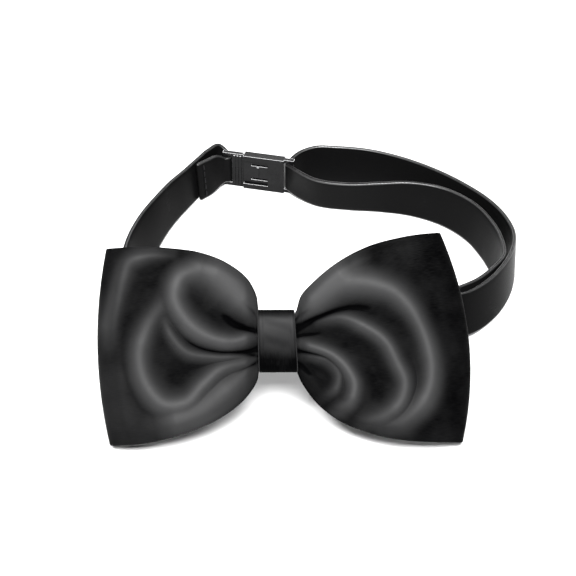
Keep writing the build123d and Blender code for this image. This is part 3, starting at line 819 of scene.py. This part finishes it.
def round_slider_bar(angle):
    """A section on the turn round the slider's middle bar."""
    along = -BAR_TURN * sin(radians(angle))
    return at_slider(along, SLIDER_BAR_DEPTH + BAR_TURN * cos(radians(angle)))


return_stations = [
    (-5.2, 51.4, 0.8, 10, BAND_WIDTH - 1.2),
    standing(2.0, 46.8, 17),
    standing(13.4, 44.2, 18),
    standing(24.9, 42.9, 13),
    standing(36.3, 40.2, 3),
    standing(47.6, 33.8, -7),
    standing(56.7, 23.4, -12),
    standing(61.2, 13.4, -13),
    standing(64.2, 3.0, -11),
    standing(66.0, -7.0, -4),
    standing(64.1, -15.6, 7),
    standing(59.2, -23.2, 12),
    (50.0, -31.8, 0.9, 19, BAND_WIDTH),
    before_slider(15),
    before_slider(8),
    before_slider(0),
]
ends = [(*SLIDE_START, -SLIDE_LEAN, BAND_WIDTH), (*SLIDE_END, -SLIDE_LEAN, BAND_WIDTH)]
whole = band_sections(before_stretch + ends + after_stretch + return_stations, left_is_out=False)
first, last = len(before_stretch), len(before_stretch) + 1
stretch = [at_slider(along, 0) for along in np.linspace(-0.5, 0.5, 6) * slide_length]
turn = first + 2 + len(after_stretch)
outer_sections = whole[:first] + stretch + whole[last + 1:turn]
return_sections = whole[turn - 1:-1]
return_sections += [round_slider_bar(angle) for angle in (0, 45, 90, 135, 180)]
return_sections += [at_slider(4.5, TAIL_DEPTH + 0.3), at_slider(8.5, RETURN_DEPTH - 1.75)]
return_sections += [at_slider(14, RETURN_DEPTH - 1.75)]


# The bands' faces keep an even dark tone; their folded edges get a painted highlight.
BAND_SHEEN = 0.06
BAND_EDGE_PAINTED_HIGHLIGHT = 0.85


def band_grid(sections, hem=0.0, across=9, step=0.7):
    """The middle of a band, smooth through its sections."""
    middles = np.array([m for m, _, _ in sections])
    at = spaced_out(middles)
    samples = np.linspace(0, at[-1], int(at[-1] / step) + 1)
    middle = through(middles, at, samples)
    up = unit(through(np.array([u for _, u, _ in sections]), at, samples))
    width = through(np.array([[w] for _, _, w in sections]), at, samples) - 2 * hem
    t = np.linspace(-0.5, 0.5, across)
    return middle[:, None] + up[:, None] * (width * t[None, :])[..., None]


def band(name, sections, cad_node, core_name, core_node):
    """A run of the neck band, with its stiffener inside."""
    cover = flat_tube(name, band_grid(sections, hem=BAND / 2), BAND, groove=0.5, tone=BAND_SHEEN,
                      edge_painted_highlight=BAND_EDGE_PAINTED_HIGHLIGHT)
    dress(cover, band_satin)
    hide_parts(cad_node)
    core = flat_tube(core_name, band_grid(sections, hem=HEM, across=3, step=1.4), BAND_STIFFENER)
    dress(core, stiffener)
    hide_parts(core_node)
    return cover, core


left_pieces = band("left_neck_band", left_sections, "left_band", "left_stiffener", "left_band_interlining")
right_pieces = band("right_neck_band", outer_sections, "right_band", "right_stiffener",
                    "right_band_interlining")
return_pieces = band("doubled_neck_band", return_sections, "right_band_return", "doubled_stiffener",
                     "right_return_interlining")
for piece in right_pieces:
    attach(piece, "root")
for piece in left_pieces:
    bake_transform(piece)
for piece in return_pieces:
    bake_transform(piece)


# ---- plastic parts ------------------------------------------------------------------------------
def finish_node(node, finish, width):
    """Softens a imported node's edges and gives it its material."""
    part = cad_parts[node]
    for place in part.material_slots:
        place.material = finish
    weld = part.modifiers.new("weld", "WELD")
    weld.merge_threshold = 1e-6
    flats = part.modifiers.new("whole_flats", "DECIMATE")
    flats.decimate_type = "DISSOLVE"
    flats.angle_limit = radians(1)
    edges = part.modifiers.new("soft_edges", "BEVEL")
    edges.width = width * MM
    edges.segments = 3
    edges.limit_method = "ANGLE"
    edges.angle_limit = radians(40)


for node in ("clip_hook", "clip_socket", "band_slider"):
    finish_node(node, clip_plastic, 0.22)
for node in ("bow_gather_thread", "knot_closing_stitches", "band_tack_stitches", "left_fold_stitches",
             "slider_end_stitches"):
    finish_node(node, black_thread, 0.06)


# ---- floor, light and camera --------------------------------------------------------------------
def floor():
    """A plain pale surface for the tie to rest on."""
    mesh = bpy.data.meshes.new("floor")
    reach = 1.6
    mesh.from_pydata([(-reach, -reach, 0), (reach, -reach, 0), (reach, reach, 0), (-reach, reach, 0)], [],
                     [(0, 1, 2, 3)])
    plane = bpy.data.objects.new("floor", mesh)
    bpy.context.scene.collection.objects.link(plane)
    made, nodes, links, shader = material("pale_floor")
    place = nodes.new("ShaderNodeTexCoord")
    speckle = noise(nodes, links, mapped(nodes, links, place.outputs["Object"], (60,) * 3), 1.0, 4)
    colours = ramp(nodes, 0.3, 0.7, (0.86, 0.86, 0.86), (0.9, 0.9, 0.9))
    links.new(speckle, colours.inputs["Fac"])
    links.new(colours.outputs["Color"], shader.inputs["Base Color"])
    shader.inputs["Roughness"].default_value = 0.9
    shader.inputs["Specular IOR Level"].default_value = 0.1
    mesh.materials.append(made)


def softbox(name, place, target, size, power):
    """A soft rectangular lamp turned towards a place."""
    light = bpy.data.lights.new(name, "AREA")
    light.shape = "RECTANGLE"
    light.size, light.size_y = size
    light.energy = power
    obj = bpy.data.objects.new(name, light)
    obj.location = place
    obj.rotation_euler = (Vector(target) - Vector(place)).to_track_quat("-Z", "Y").to_euler()
    bpy.context.scene.collection.objects.link(obj)


VIEW_DISTANCE = 650  # millimetres from the bow
VIEW_RIGHT = 3.6  # where it aims, from the bow's middle
VIEW_UP = 15.3
VIEW_LENS = 124.6


def camera():
    """Looks down at the bow, square to its face."""
    middle = KNOT + BOW_UP * 1.96
    place = middle + BOW_FRONT * VIEW_DISTANCE
    target = middle + X * VIEW_RIGHT + BOW_UP * VIEW_UP
    data = bpy.data.cameras.new("camera")
    data.lens = VIEW_LENS
    data.sensor_width = 36
    data.clip_start, data.clip_end = 0.05, 20
    obj = bpy.data.objects.new("camera", data)
    obj.location = place * MM
    obj.rotation_euler = Vector(target - place).to_track_quat("-Z", "Y").to_euler()
    bpy.context.scene.collection.objects.link(obj)
    bpy.context.scene.camera = obj


floor()
centre = KNOT * MM
softbox("key", (0.05, -1.05, 1.35), centre, (0.6, 0.5), 60)
softbox("kicker", (-0.6, -0.72, 1.35), centre, (0.32, 0.26), 18)
softbox("overhead", (0.0, 0.5, 1.5), (0, 0.0, 0), (1.6, 0.8), 7)
softbox("rim", (0.15, 1.5, 1.15), (0, 0.05, 0), (1.3, 0.2), 8)
world = bpy.data.worlds.new("studio")
world.use_nodes = True
world.node_tree.nodes["Background"].inputs["Color"].default_value = (1, 1, 1, 1)
world.node_tree.nodes["Background"].inputs["Strength"].default_value = 0.12
bpy.context.scene.world = world
bpy.context.scene.view_settings.view_transform = "Standard"
camera()
